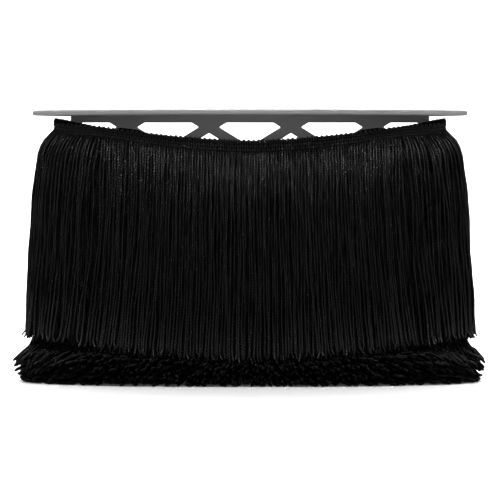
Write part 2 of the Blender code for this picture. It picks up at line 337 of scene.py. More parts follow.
@functools.lru_cache(maxsize=None)
def walkOval(oval):
    angles = numpy.linspace(0, 2 * math.pi, 2881)
    cosine, sine = numpy.cos(angles), numpy.sin(angles)
    x = oval.halfLength * numpy.sign(cosine) * numpy.abs(cosine) ** (2 / oval.squareness)
    y = oval.halfDepth * numpy.sign(sine) * numpy.abs(sine) ** (2 / oval.squareness)
    walked = numpy.cumsum(numpy.hypot(numpy.diff(x, prepend=x[0]), numpy.diff(y, prepend=y[0])))
    return walked / walked[-1], x, y


def roundOval(oval, shares):
    walked, x, y = walkOval(oval)
    shares = numpy.asarray(shares) % 1.0
    return numpy.interp(shares, walked, x), numpy.interp(shares, walked, y)


headingOval = Oval(heading["halfLength"], heading["halfDepth"], heading["squareness"])


def headingTopAt(x):
    # the heading's top edge sags between the reel's ends
    rise = numpy.abs(x / heading["halfLength"]) ** heading["sagPower"]
    return heading["endTop"] - heading["sag"] * (1 - rise)


def headingTop(shares):
    return headingTopAt(roundOval(headingOval, shares)[0])


def squeezeAt(x):
    return 1 - heading["squeeze"] * smoothStep(*heading["squeezed"], numpy.abs(x))


def smoothStep(low, high, values):
    t = numpy.clip((values - low) / (high - low), 0, 1)
    return t * t * (3 - 2 * t)


def smoothThrough(knots, values, at):
    # a smooth curve through the values, row by row
    slopes = numpy.gradient(values, knots, axis=0)
    place = numpy.clip(numpy.searchsorted(knots, at, side="right") - 1, 0, len(knots) - 2)
    span = (knots[place + 1] - knots[place])[:, None, None]
    t = (at - knots[place])[:, None, None] / span
    start, end = values[place], values[place + 1]
    startSlope, endSlope = slopes[place] * span, slopes[place + 1] * span
    return (
        start * (2 * t**3 - 3 * t**2 + 1)
        + startSlope * (t**3 - 2 * t**2 + t)
        + end * (3 * t**2 - 2 * t**3)
        + endSlope * (t**3 - t**2)
    )


sheetColumns = 288
sheetShares = numpy.linspace(0, 1, sheetColumns + 1)


def ring(oval, heights, shift=0.0):
    x, y = roundOval(oval, sheetShares + shift)
    return numpy.stack([x, y, numpy.broadcast_to(heights, x.shape)], axis=1)


def guideSheet(name, rings, levels=30):
    # a smooth sheet through the rings, top to bottom; its UV map says where on it a strand runs
    rings = numpy.array(rings)
    steps = numpy.linalg.norm(numpy.diff(rings, axis=0), axis=2).mean(axis=1)
    walked = numpy.concatenate([[0.0], numpy.cumsum(steps)]) / steps.sum()
    down = numpy.linspace(0, 1, levels)
    points = smoothThrough(walked, rings, down)
    wide = sheetColumns + 1
    faces = [
        (corner, corner + wide, corner + wide + 1, corner + 1)
        for level in range(levels - 1)
        for corner in range(level * wide, level * wide + sheetColumns)
    ]
    data = bpy.data.meshes.new(name)
    data.from_pydata(points.reshape(-1, 3).tolist(), [], faces)
    data.shade_smooth()
    layer = data.uv_layers.new(name="UVMap")
    corners = numpy.empty(len(data.loops), numpy.int32)
    data.loops.foreach_get("vertex_index", corners)
    spots = numpy.stack([sheetShares[corners % wide], down[corners // wide]], axis=1)
    layer.data.foreach_set("uv", spots.ravel())
    return newObject(name, data)


# Geometry Nodes


def newTree(name, inputs):
    tree = bpy.data.node_groups.new(name, "GeometryNodeTree")
    tree.interface.new_socket("Geometry", in_out="INPUT", socket_type="NodeSocketGeometry")
    tree.interface.new_socket("Geometry", in_out="OUTPUT", socket_type="NodeSocketGeometry")
    for label, kind in inputs:
        tree.interface.new_socket(label, in_out="INPUT", socket_type="NodeSocket" + kind)
    return tree, addNode(tree, "NodeGroupInput", {}, {}).outputs


def endTree(tree, geometry, material):
    # every tree ends smooth, real and with its yarn on
    smooth = addNode(tree, "GeometryNodeSetShadeSmooth", {}, {"Geometry": geometry}).outputs[0]
    real = addNode(tree, "GeometryNodeRealizeInstances", {}, {"Geometry": smooth}).outputs[0]
    dressed = addNode(
        tree, "GeometryNodeSetMaterial", {}, {"Geometry": real, "Material": material}
    ).outputs[0]
    addNode(tree, "NodeGroupOutput", {}, {"Geometry": dressed})
    return tree


def onSheet(tree, sheet, across, down):
    # the place and the outward direction at a point of the sheet's UV map
    spot = addNode(tree, "ShaderNodeCombineXYZ", {}, {"X": across, "Y": down}).outputs[0]
    uvMap = addNode(
        tree, "GeometryNodeInputNamedAttribute", {"data_type": "FLOAT_VECTOR"}, {"Name": "UVMap"}
    ).outputs["Attribute"]
    fields = [
        addNode(tree, "GeometryNodeInputPosition", {}, {}).outputs[0],
        addNode(tree, "GeometryNodeInputNormal", {}, {}).outputs[0],
    ]
    return [
        addNode(tree, "GeometryNodeSampleUVSurface", {"data_type": "FLOAT_VECTOR"}, {
            "Mesh": sheet, "Value": field, "UV Map": uvMap, "Sample UV": spot,
        }).outputs["Value"]
        for field in fields
    ]


def strandTree():
    # chainette strands that hang down a sheet, each with its own drift, length, lift and curled end
    tree, given = newTree("strands_on_sheet", [
        ("Strands", "Int"), ("Points", "Int"), ("Sides", "Int"), ("Radius", "Float"), ("Stagger", "Float"),
        ("Sway", "Float"), ("Bunch", "Float"), ("Lift", "Float"), ("Waves", "Float"), ("Ragged", "Float"),
        ("Tip", "Float"), ("Curl", "Float"), ("Tuft", "Float"), ("Twist", "Float"), ("Seed", "Int"),
        ("Yarn", "Material"),
    ])
    line = addNode(tree, "GeometryNodeCurvePrimitiveLine", {}, {"End": (0, 0, 1)}).outputs[0]
    line = addNode(
        tree, "GeometryNodeResampleCurve", {}, {"Curve": line, "Count": given["Points"]}
    ).outputs[0]
    copies = addNode(
        tree, "GeometryNodeDuplicateElements", {"domain": "SPLINE"},
        {"Geometry": line, "Amount": given["Strands"]},
    )
    strand = copies.outputs["Duplicate Index"]
    factor = addNode(tree, "GeometryNodeSplineParameter", {}, {}).outputs["Factor"]
    # points crowd towards the tip, where the curl is
    left = addNode(tree, "ShaderNodeMath", {"operation": "SUBTRACT"}, {0: 1.0, 1: factor}).outputs[0]
    left = addNode(tree, "ShaderNodeMath", {"operation": "POWER"}, {0: left, 1: 1.4}).outputs[0]
    down = addNode(tree, "ShaderNodeMath", {"operation": "SUBTRACT"}, {0: 1.0, 1: left}).outputs[0]

    def ownNumber(low, high, shift):
        seed = addNode(tree, "FunctionNodeIntegerMath", {}, {0: given["Seed"], 1: shift}).outputs[0]
        return addNode(
            tree, "FunctionNodeRandomValue", {}, {2: low, 3: high, "ID": strand, "Seed": seed}
        ).outputs[1]

    def drift(spread, waves, shift):
        # three smooth numbers from -0.5 to 0.5; a small spread makes neighbours drift together
        wide = addNode(tree, "ShaderNodeMath", {"operation": "MULTIPLY"}, {0: strand, 1: spread}).outputs[0]
        deep = addNode(tree, "ShaderNodeMath", {"operation": "MULTIPLY"}, {0: down, 1: waves}).outputs[0]
        own = addNode(tree, "ShaderNodeMath", {"operation": "ADD"}, {0: given["Seed"], 1: shift}).outputs[0]
        spot = addNode(tree, "ShaderNodeCombineXYZ", {}, {"X": wide, "Y": deep, "Z": own}).outputs[0]
        noise = addNode(
            tree, "ShaderNodeTexNoise", {}, {"Vector": spot, "Scale": 1.0, "Detail": 1.0}
        ).outputs["Color"]
        centred = addNode(
            tree, "ShaderNodeVectorMath", {"operation": "SUBTRACT"}, {0: noise, 1: (0.5, 0.5, 0.5)}
        ).outputs[0]
        return addNode(tree, "ShaderNodeSeparateXYZ", {}, {0: centred}).outputs

    alone = drift(spread=7.31, waves=given["Waves"], shift=0.37)
    together = drift(spread=0.31, waves=2.2, shift=40.7)
    # near its root a strand doesn't swing
    rooted = addNode(tree, "ShaderNodeMapRange", {}, {"Value": down, "From Max": 0.22}).outputs["Result"]
    swung = addNode(
        tree, "ShaderNodeMath", {"operation": "MULTIPLY"}, {0: alone["X"], 1: given["Sway"]}
    ).outputs[0]
    swung = addNode(
        tree, "ShaderNodeMath", {"operation": "MULTIPLY_ADD"},
        {0: together["X"], 1: given["Bunch"], 2: swung},
    ).outputs[0]
    cell = addNode(tree, "ShaderNodeMath", {"operation": "ADD"}, {0: strand, 1: given["Stagger"]}).outputs[0]
    cell = addNode(
        tree, "ShaderNodeMath", {"operation": "MULTIPLY_ADD"}, {0: swung, 1: rooted, 2: cell}
    ).outputs[0]
    cell = addNode(
        tree, "ShaderNodeMath", {"operation": "ADD"}, {0: cell, 1: ownNumber(-0.15, 0.15, 3)}
    ).outputs[0]
    across = addNode(
        tree, "ShaderNodeMath", {"operation": "DIVIDE"}, {0: cell, 1: given["Strands"]}
    ).outputs[0]
    across = addNode(tree, "ShaderNodeMath", {"operation": "FRACT"}, {0: across}).outputs[0]
    short = addNode(
        tree, "ShaderNodeMath", {"operation": "MULTIPLY"}, {0: ownNumber(0.0, 1.0, 5), 1: given["Ragged"]}
    ).outputs[0]
    whole = addNode(tree, "ShaderNodeMath", {"operation": "SUBTRACT"}, {0: 0.9999, 1: short}).outputs[0]
    level = addNode(tree, "ShaderNodeMath", {"operation": "MULTIPLY"}, {0: down, 1: whole}).outputs[0]
    place, outward = onSheet(tree, given["Geometry"], across, level)

    lift = addNode(
        tree, "ShaderNodeMath", {"operation": "ADD"}, {0: alone["Y"], 1: together["Y"]}
    ).outputs[0]
    lift = addNode(tree, "ShaderNodeMath", {"operation": "MULTIPLY"}, {0: lift, 1: given["Lift"]}).outputs[0]
    lift = addNode(tree, "ShaderNodeMath", {"operation": "MULTIPLY"}, {0: lift, 1: rooted}).outputs[0]
    tip = addNode(tree, "ShaderNodeMapRange", {"interpolation_type": "SMOOTHSTEP"}, {
        "Value": down, "From Min": given["Tip"],
    }).outputs["Result"]
    curl = addNode(tree, "ShaderNodeMath", {"operation": "MULTIPLY"}, {0: tip, 1: given["Curl"]}).outputs[0]
    lift = addNode(
        tree, "ShaderNodeMath", {"operation": "MULTIPLY_ADD"}, {0: curl, 1: ownNumber(-0.8, 0.6, 7), 2: lift}
    ).outputs[0]
    lifted = addNode(
        tree, "ShaderNodeVectorMath", {"operation": "SCALE"}, {0: outward, "Scale": lift}
    ).outputs[0]
    turn = addNode(tree, "ShaderNodeCombineXYZ", {}, {
        "X": ownNumber(-1.0, 1.0, 9), "Y": ownNumber(-1.0, 1.0, 11), "Z": ownNumber(-0.2, 0.6, 13),
    }).outputs[0]
    curled = addNode(
        tree, "ShaderNodeVectorMath", {"operation": "SCALE"}, {0: turn, "Scale": curl}
    ).outputs[0]
    place = addNode(tree, "ShaderNodeVectorMath", {"operation": "ADD"}, {0: place, 1: lifted}).outputs[0]
    place = addNode(tree, "ShaderNodeVectorMath", {"operation": "ADD"}, {0: place, 1: curled}).outputs[0]
    # nothing sinks into the table
    parts = addNode(tree, "ShaderNodeSeparateXYZ", {}, {0: place}).outputs
    rest = addNode(
        tree, "ShaderNodeMath", {"operation": "MULTIPLY"}, {0: given["Radius"], 1: 1.5}
    ).outputs[0]
    above = addNode(tree, "ShaderNodeMath", {"operation": "MAXIMUM"}, {0: parts["Z"], 1: rest}).outputs[0]
    place = addNode(
        tree, "ShaderNodeCombineXYZ", {}, {"X": parts["X"], "Y": parts["Y"], "Z": above}
    ).outputs[0]
    hung = addNode(
        tree, "GeometryNodeSetPosition", {}, {"Geometry": copies.outputs["Geometry"], "Position": place}
    ).outputs[0]
    turns = addNode(
        tree, "ShaderNodeMath", {"operation": "MULTIPLY"}, {0: down, 1: given["Twist"]}
    ).outputs[0]
    turns = addNode(
        tree, "ShaderNodeMath", {"operation": "ADD"}, {0: turns, 1: ownNumber(0.0, 6.28, 15)}
    ).outputs[0]
    hung = addNode(tree, "GeometryNodeSetCurveTilt", {}, {"Curve": hung, "Tilt": turns}).outputs[0]
    length = addNode(tree, "GeometryNodeSplineParameter", {}, {}).outputs["Length"]
    lengthMm = addNode(
        tree, "ShaderNodeMath", {"operation": "MULTIPLY_ADD"},
        {0: length, 1: 1000.0, 2: ownNumber(0.0, 9.0, 19)},
    ).outputs[0]
    for label, field in (("alongMm", lengthMm), ("tone", ownNumber(0.0, 1.0, 17))):
        hung = addNode(
            tree, "GeometryNodeStoreNamedAttribute", {},
            {"Geometry": hung, "Name": label, "Value": field},
        ).outputs[0]
    profile = yarnProfile(tree, given["Sides"])
    flare = addNode(
        tree, "ShaderNodeMath", {"operation": "MULTIPLY_ADD"}, {0: tip, 1: given["Tuft"], 2: 1.0}
    ).outputs[0]
    thick = addNode(
        tree, "ShaderNodeMath", {"operation": "MULTIPLY_ADD"}, {0: alone["Z"], 1: 0.6, 2: flare}
    ).outputs[0]
    closing = addNode(tree, "ShaderNodeMapRange", {}, {
        "Value": down, "From Min": 0.985, "From Max": 1.0, "To Min": 1.0, "To Max": 0.5,
    }).outputs["Result"]
    thick = addNode(tree, "ShaderNodeMath", {"operation": "MULTIPLY"}, {0: thick, 1: closing}).outputs[0]
    # a strand is a little thinner where it leaves its heading
    drawn = addNode(
        tree, "ShaderNodeMath", {"operation": "MULTIPLY_ADD"}, {0: rooted, 1: 0.16, 2: 0.84}
    ).outputs[0]
    thick = addNode(tree, "ShaderNodeMath", {"operation": "MULTIPLY"}, {0: thick, 1: drawn}).outputs[0]
    thick = addNode(
        tree, "ShaderNodeMath", {"operation": "MULTIPLY"}, {0: thick, 1: given["Radius"]}
    ).outputs[0]
    tubes = addNode(tree, "GeometryNodeCurveToMesh", {}, {
        "Curve": hung, "Profile Curve": profile, "Scale": thick, "Fill Caps": True,
    }).outputs[0]
    return endTree(tree, tubes, given["Yarn"])


def yarnProfile(tree, sides):
    # a yarn's round section, with its corners marked alternately for the chain relief
    circle = addNode(
        tree, "GeometryNodeCurvePrimitiveCircle", {}, {"Resolution": sides, "Radius": 1.0}
    ).outputs[0]
    corner = addNode(tree, "GeometryNodeInputIndex", {}, {}).outputs[0]
    half = addNode(tree, "ShaderNodeMath", {"operation": "MODULO"}, {0: corner, 1: 2.0}).outputs[0]
    return addNode(
        tree, "GeometryNodeStoreNamedAttribute", {},
        {"Geometry": circle, "Name": "side", "Value": half},
    ).outputs[0]


def growOn(sheet, tree, values):
    # runs the tree on the sheet and keeps its result as a plain mesh
    modifier = sheet.modifiers.new("grow", "NODES")
    modifier.node_group = tree
    for item in tree.interface.items_tree:
        if item.in_out == "INPUT" and item.name in values:
            modifier[item.identifier] = values[item.name]
    graph = bpy.context.evaluated_depsgraph_get()
    made = bpy.data.meshes.new_from_object(
        sheet.evaluated_get(graph), preserve_all_data_layers=True, depsgraph=graph
    )
    sheet.modifiers.clear()
    old = sheet.data
    sheet.data = made
    made.name = sheet.name
    bpy.data.meshes.remove(old)
    made.calc_loop_triangles()
    print(f"{sheet.name}: {len(made.loop_triangles)} triangles")
    return sheet


def dress(obj, *nodes, slot="rayon_yarn"):
    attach(obj, "root")
    if nodes:
        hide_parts(*nodes)


strandsOnSheet = strandTree()


# The outer turn's curtain of strands

curtainFalls = [
    # (drop below the heading's top edge, the oval there)
    (0.0055, Oval(0.1340, 0.0250, 2.1)),
    (0.0082, Oval(0.1365, 0.0264, 2.1)),
    (0.0128, Oval(0.1415, 0.0285, 2.1)),
    (0.0200, Oval(0.1455, 0.0306, 2.2)),
    (0.0340, Oval(0.1481, 0.0335, 2.2)),
    (0.0900, Oval(0.1525, 0.0370, 2.2)),
    (0.1510, Oval(0.1558, 0.0400, 2.3)),
]
crease = {
    # between the corners the strands hang straight down, and at each corner they fan out past a crease
    "front": 0.1855,  # its distance from the middle of the front, as a share of the girth
    "back": 0.168,
    "width": 0.008,
    "jump": 0.3,  # the part of the spread that opens at the crease; the fan takes up the rest
    "strength": [1.0, 1.0, 1.0, 1.0, 1.0, 0.8, 0.5],  # at each of the curtain's falls
}
curtainRoot = {
    "drop": 0.0081,  # the heading's lower edge below its top edge, where it isn't drawn together
    "fade": 0.05,  # the drop at which the strands no longer follow that edge
}
curtain = {
    "Strands": 296, "Points": 40, "Sides": 5, "Radius": 0.00071, "Stagger": 0.5, "Sway": 1.4, "Bunch": 2.0,
    "Lift": 0.0036, "Waves": 3.0, "Ragged": 0.020, "Tip": 0.97, "Curl": 0.0020, "Tuft": 0.5, "Twist": 9.0,
    "Seed": 3,
    "Yarn": strandYarn,
}


def girth(oval):
    _, x, y = walkOval(oval)
    return numpy.hypot(numpy.diff(x), numpy.diff(y)).sum()


def creaseShift(oval, strength):
    # how far each column of the sheet moves round, as a share of the girth
    half = sheetShares % 0.5 - 0.25
    away = numpy.abs(half)
    kept = girth(headingOval) / girth(oval)
    edge = numpy.where(sheetShares < 0.5, crease["back"], crease["front"])
    opened = smoothStep(edge - crease["width"] / 2, edge + crease["width"] / 2, away)
    fanned = crease["jump"] * opened + (1 - crease["jump"]) * smoothStep(edge, 0.25, away)
    creased = away * kept + 0.25 * (1 - kept) * fanned
    return numpy.sign(half) * (creased - away) * strength


def curtainSheet(name, inset, creased):
    tops = headingTop(sheetShares)
    squeeze = squeezeAt(roundOval(headingOval, sheetShares)[0])
    below = curtainRoot["drop"] * (squeeze - (1 - heading["squeeze"]))
    rings = []
    for (drop, fallOval), strength in zip(curtainFalls, crease["strength"]):
        oval = fallOval.grown(-inset)
        shift = creaseShift(oval, strength) if creased else 0.0
        follows = max(0, 1 - drop / curtainRoot["fade"])
        rings.append(ring(oval, tops - drop - below * follows, shift))
    return guideSheet(name, rings)


outerCurtain = growOn(curtainSheet("curtain_outer", 0.0009, True), strandsOnSheet, curtain)
dress(outerCurtain, "outer_turn")
# the layer under it swings less and lies close, so that no paper shows between them at the ends
under = curtain | {"Sides": 4, "Stagger": 0.0, "Seed": 8, "Points": 32, "Lift": 0.0024, "Yarn": innerYarn}
dress(growOn(curtainSheet("curtain_under", 0.0019, False), strandsOnSheet, under))
shaded = under | {"Stagger": 0.5, "Seed": 9, "Points": 20, "Radius": 0.00090, "Yarn": shadedYarn}
dress(growOn(curtainSheet("curtain_shaded", 0.0046, False), strandsOnSheet, shaded))
print("curtain made")


# The reel: two oval end plates and the board between them

reel = {
    "height": 0.1866,
    "plateHalfLength": 0.150,
    "plateHalfDepth": 0.034,
    "plateThickness": 0.0036,
    "plateEdge": 0.0016,
    "plateSides": 192,
    "boardWidth": 0.2467,
    "boardThickness": 0.006,
    "boardEdge": 0.0008,
    "clearance": 0.0003,
    "fillet": 0.0012,
    "filletOverlap": (0.0005, 0.0003),  # how far it goes into the board and into the plate
    "rail": 0.0048,
    "endPost": 0.0076,
    "nodePitch": 0.0565,
    "neckWidth": 0.014,
    "neckDrop": 0.0031,
    "windowChamfer": 0.005,
    "strutSlope": 0.612,
    "strutDepth": 0.0083,
    "endWindowDepth": 0.0102,
    "triangleDepth": 0.0071,
    "cornerRadius": 0.0005,
}
underPlate = reel["height"] - reel["plateThickness"]


def addPlate(name, base):
    mesh = bmesh.new()
    edge, thickness = reel["plateEdge"], reel["plateThickness"]
    turn = [math.radians(90) * step / 5 for step in range(6)]
    section = [(edge * (1 - math.sin(a)), edge * (1 - math.cos(a))) for a in turn]
    section += [(inset, thickness - up) for inset, up in reversed(section)]
    shares = numpy.arange(reel["plateSides"]) / reel["plateSides"]
    rows = []
    for inset, up in section:
        x, y = roundOval(Oval(reel["plateHalfLength"] - inset, reel["plateHalfDepth"] - inset, 2.0), shares)
        rows.append([mesh.verts.new((px, py, base + up)) for px, py in zip(x.tolist(), y.tolist())])
    for low, high in zip(rows, rows[1:]):
        for at in range(len(low)):
            after = (at + 1) % len(low)
            mesh.faces.new((low[at], low[after], high[after], high[at])).smooth = True
    mesh.faces.new(list(reversed(rows[0])))
    mesh.faces.new(rows[-1])
    return newObject(name, meshFrom(mesh, name, polystyrene))


def roundCorners(corners, radius, steps=6):
    # the outline with an arc in place of each corner
    points = []
    for index, corner in enumerate(corners):
        here = numpy.array(corner)
        before = numpy.array(corners[index - 1]) - here
        after = numpy.array(corners[(index + 1) % len(corners)]) - here
        before /= numpy.linalg.norm(before)
        after /= numpy.linalg.norm(after)
        halfAngle = math.acos(float(numpy.clip(before @ after, -1, 1))) / 2
        start = here + before * radius / math.tan(halfAngle)
        end = here + after * radius / math.tan(halfAngle)
        toMiddle = (before + after) / numpy.linalg.norm(before + after)
        centre = here + toMiddle * radius / math.sin(halfAngle)
        for step in range(steps + 1):
            along = start + (end - start) * step / steps - centre
            points.append(centre + along / numpy.linalg.norm(along) * radius)
    return points


def boardWindows():
    # three wide windows under the rail, one at each end, and the two small triangles of the truss
    top = underPlate - reel["rail"]
    neck = top - reel["neckDrop"]
    slope = reel["strutSlope"]
    reach = (reel["nodePitch"] - reel["neckWidth"]) / 2
    flat = reach - reel["windowChamfer"]
    wide = [(flat, top), (-flat, top), (-reach, neck), (0, neck - reach * slope), (reach, neck)]
    outer = reel["boardWidth"] / 2 - reel["endPost"]
    inner = 1.5 * reel["nodePitch"] + reel["neckWidth"] / 2
    sill = top - reel["endWindowDepth"]
    foot = inner + (neck - sill) / slope
    end = [(outer, top), (inner + reel["windowChamfer"], top), (inner, neck), (foot, sill), (outer, sill)]
    apex = neck + slope * reel["neckWidth"] / 2 - reel["strutDepth"]
    base = apex - reel["triangleDepth"]
    halfBase = reel["triangleDepth"] / slope
    triangle = [(0, apex), (-halfBase, base), (halfBase, base)]
    outlines = [[(x + place * reel["nodePitch"], z) for x, z in wide] for place in (-1, 0, 1)]
    outlines += [[(x + side * reel["nodePitch"] / 2, z) for x, z in triangle] for side in (-1, 1)]
    return outlines + [end, [(-x, z) for x, z in reversed(end)]]


def addFillet(mesh, side):
    # the inner corner between the board's face and the top plate is rounded
    radius, half = reel["fillet"], reel["boardWidth"] / 2 - reel["boardEdge"]
    face, top = reel["boardThickness"] / 2, underPlate
    turn = [math.radians(90) * step / 4 for step in range(5)]
    section = [(face + radius * (1 - math.cos(a)), top - radius * (1 - math.sin(a))) for a in turn]
    intoBoard, intoPlate = reel["filletOverlap"]
    inner, upper = face - intoBoard, top + intoPlate
    section += [(face + radius, upper), (inner, upper), (inner, top - radius)]
    ends = [[mesh.verts.new((x, side * y, z)) for y, z in section] for x in (-half, half)]
    made = [mesh.faces.new(ends[0]), mesh.faces.new(list(reversed(ends[1])))]
    for at in range(len(section)):
        after = (at + 1) % len(section)
        made.append(mesh.faces.new((ends[0][at], ends[1][at], ends[1][after], ends[0][after])))
    bmesh.ops.recalc_face_normals(mesh, faces=made)


def addBoard():
    # a filled 2D curve: its holes and its rounded edges come with it
    half, edge = reel["boardWidth"] / 2, reel["boardEdge"]
    low = reel["plateThickness"] + reel["clearance"]
    high = underPlate - reel["clearance"]
    loops = [[(-half, low), (half, low), (half, high), (-half, high)]]
    loops += [roundCorners(corners, reel["cornerRadius"]) for corners in boardWindows()]
    outline = bpy.data.curves.new("reel_board_outline", "CURVE")
    outline.dimensions = "2D"
    outline.fill_mode = "BOTH"
    for loop in loops:
        spline = outline.splines.new("POLY")
        spline.points.add(len(loop) - 1)
        spline.points.foreach_set("co", [value for x, z in loop for value in (x, z, 0, 1)])
        spline.use_cyclic_u = True
    outline.extrude = reel["boardThickness"] / 2 - edge
    outline.bevel_depth = edge
    outline.bevel_resolution = 3
    outline.offset = -edge
    drawn = newObject("reel_board_outline", outline)
    graph = bpy.context.evaluated_depsgraph_get()
    data = bpy.data.meshes.new_from_object(drawn.evaluated_get(graph))
    bpy.data.objects.remove(drawn)
    mesh = bmesh.new()
    mesh.from_mesh(data)
    upright = mathutils.Matrix.Rotation(math.radians(90), 3, "X")
    bmesh.ops.rotate(mesh, verts=mesh.verts, cent=(0, 0, 0), matrix=upright)
    bmesh.ops.remove_doubles(mesh, verts=mesh.verts, dist=1e-6)
    for side in (-1, 1):
        addFillet(mesh, side)
    for face in mesh.faces:
        face.smooth = abs(face.normal.y) < 0.99
    bpy.data.meshes.remove(data)
    return newObject("reel_board_moulding", meshFrom(mesh, "reel_board_moulding", polystyrene))


dress(addPlate("reel_plate_top", underPlate), "reel_end_top", slot="moulded_plastic")
dress(addPlate("reel_plate_bottom", 0.0), "reel_end_bottom", slot="moulded_plastic")
dress(addBoard(), "reel_board", slot="moulded_plastic")
print("reel made")


# The turns under the last one: a wound body, and their headings on top of it

turns = {
    "count": 14,
    "spacing": 0.0014,
    "out": 0.0002,
    "bandHalf": 0.0005,
    "squareness": 2.2,
    "strandsOut": 0.0006,
    "shortening": 0.0155,  # the share of the outer turn's loops that each turn further in does without
}
rollRings = [
    # (half length, half depth, height, or the drop below the heading's top edge as a negative number)
    (0.1380, 0.0240, 0.0039),
    (0.1420, 0.0285, 0.0045),
    (0.1465, 0.0315, 0.0110),
    (0.1465, 0.0315, 0.0340),
    (0.1490, 0.0330, -0.1150),
    (0.1462, 0.0308, -0.0600),
    (0.1432, 0.0290, -0.0340),
    (0.1385, 0.0262, -0.0190),
    (0.1300, 0.0215, -0.0108),
    (0.1240, 0.0060, -0.0100),
]


def closedLoft(name, rings, levels, material):
    # a smooth loft through the rings; where the last is the first again, it is a closed ring
    body = guideSheet(name, rings, levels)
    mesh = bmesh.new()
    mesh.from_mesh(body.data)
    bmesh.ops.remove_doubles(mesh, verts=mesh.verts, dist=1e-6)
    rims = [edge for edge in mesh.edges if edge.is_boundary]
    if rims:
        bmesh.ops.holes_fill(mesh, edges=rims, sides=0)
    bmesh.ops.recalc_face_normals(mesh, faces=mesh.faces)
    mesh.to_mesh(body.data)
    mesh.free()
    body.data.materials.append(material)
    return body


def woundRings(sections, out=0.0):
    tops = headingTop(sheetShares)
    return [
        ring(Oval(length + out, depth + out, turns["squareness"]), height if height > 0 else tops + height)
        for length, depth, height in sections
    ]


def headingRings(oval, tops, half, height):
    # the section of a heading band, walked round and back to its start
    shoulder, belly = 0.0004, height + 0.0002
    corners = [(half, height), (half, shoulder), (0, 0), (-half, shoulder), (-half, height), (0, belly)]
    squeeze = squeezeAt(roundOval(oval, sheetShares)[0])
    rings = [ring(oval.grown(out), tops - drop * squeeze) for out, drop in corners]
    return rings + rings[:1]


def loopTree():
    # one yarn that runs up and down a band, with a small picot loop at every turn
    tree, given = newTree("looped_yarn_on_sheet", [
        ("Loops", "Int"), ("Points", "Int"), ("Sides", "Int"), ("Radius", "Float"), ("Overhang", "Float"),
        ("Jitter", "Float"), ("Seed", "Int"), ("Yarn", "Material"),
    ])
    count = addNode(
        tree, "FunctionNodeIntegerMath", {"operation": "MULTIPLY"}, {0: given["Loops"], 1: given["Points"]}
    ).outputs[0]
    line = addNode(tree, "GeometryNodeCurvePrimitiveLine", {}, {"End": (0, 0, 1)}).outputs[0]
    line = addNode(tree, "GeometryNodeResampleCurve", {}, {"Curve": line, "Count": count}).outputs[0]
    index = addNode(tree, "GeometryNodeInputIndex", {}, {}).outputs[0]
    midway = addNode(tree, "ShaderNodeMath", {"operation": "ADD"}, {0: index, 1: 0.5}).outputs[0]
    phase = addNode(
        tree, "ShaderNodeMath", {"operation": "DIVIDE"}, {0: midway, 1: given["Points"]}
    ).outputs[0]
    angle = addNode(tree, "ShaderNodeMath", {"operation": "MULTIPLY"}, {0: phase, 1: 2 * math.pi}).outputs[0]
    doubled = addNode(tree, "ShaderNodeMath", {"operation": "MULTIPLY"}, {0: angle, 1: 2.0}).outputs[0]
    swing = addNode(tree, "ShaderNodeMath", {"operation": "SINE"}, {0: doubled}).outputs[0]
    loop = addNode(tree, "ShaderNodeMath", {"operation": "FLOOR"}, {0: phase}).outputs[0]
    wobble = addNode(
        tree, "FunctionNodeRandomValue", {}, {2: -1.0, 3: 1.0, "ID": loop, "Seed": given["Seed"]}
    ).outputs[1]
    across = addNode(
        tree, "ShaderNodeMath", {"operation": "MULTIPLY_ADD"}, {0: swing, 1: given["Overhang"], 2: phase}
    ).outputs[0]
    across = addNode(
        tree, "ShaderNodeMath", {"operation": "DIVIDE"}, {0: across, 1: given["Loops"]}
    ).outputs[0]
    across = addNode(tree, "ShaderNodeMath", {"operation": "FRACT"}, {0: across}).outputs[0]
    cosine = addNode(tree, "ShaderNodeMath", {"operation": "COSINE"}, {0: angle}).outputs[0]
    rise = addNode(
        tree, "ShaderNodeMath", {"operation": "MULTIPLY_ADD"}, {0: wobble, 1: given["Jitter"], 2: 0.46}
    ).outputs[0]
    down = addNode(tree, "ShaderNodeMath", {"operation": "MULTIPLY"}, {0: cosine, 1: rise}).outputs[0]
    down = addNode(tree, "ShaderNodeMath", {"operation": "SUBTRACT"}, {0: 0.5, 1: down}).outputs[0]
    place, _ = onSheet(tree, given["Geometry"], across, down)
    laid = addNode(
        tree, "GeometryNodeStoreNamedAttribute", {},
        {"Geometry": line, "Name": "share", "Value": down},
    ).outputs[0]
    laid = addNode(tree, "GeometryNodeSetPosition", {}, {"Geometry": laid, "Position": place}).outputs[0]
    laid = addNode(tree, "GeometryNodeSetSplineCyclic", {}, {"Geometry": laid, "Cyclic": True}).outputs[0]
    length = addNode(tree, "GeometryNodeSplineParameter", {}, {}).outputs["Length"]
    lengthMm = addNode(tree, "ShaderNodeMath", {"operation": "MULTIPLY"}, {0: length, 1: 1000.0}).outputs[0]
    laid = addNode(
        tree, "GeometryNodeStoreNamedAttribute", {},
        {"Geometry": laid, "Name": "alongMm", "Value": lengthMm},
    ).outputs[0]
    tubes = addNode(tree, "GeometryNodeCurveToMesh", {}, {
        "Curve": laid, "Profile Curve": yarnProfile(tree, given["Sides"]), "Scale": given["Radius"],
    }).outputs[0]
    return endTree(tree, tubes, given["Yarn"])


loopedYarn = loopTree()

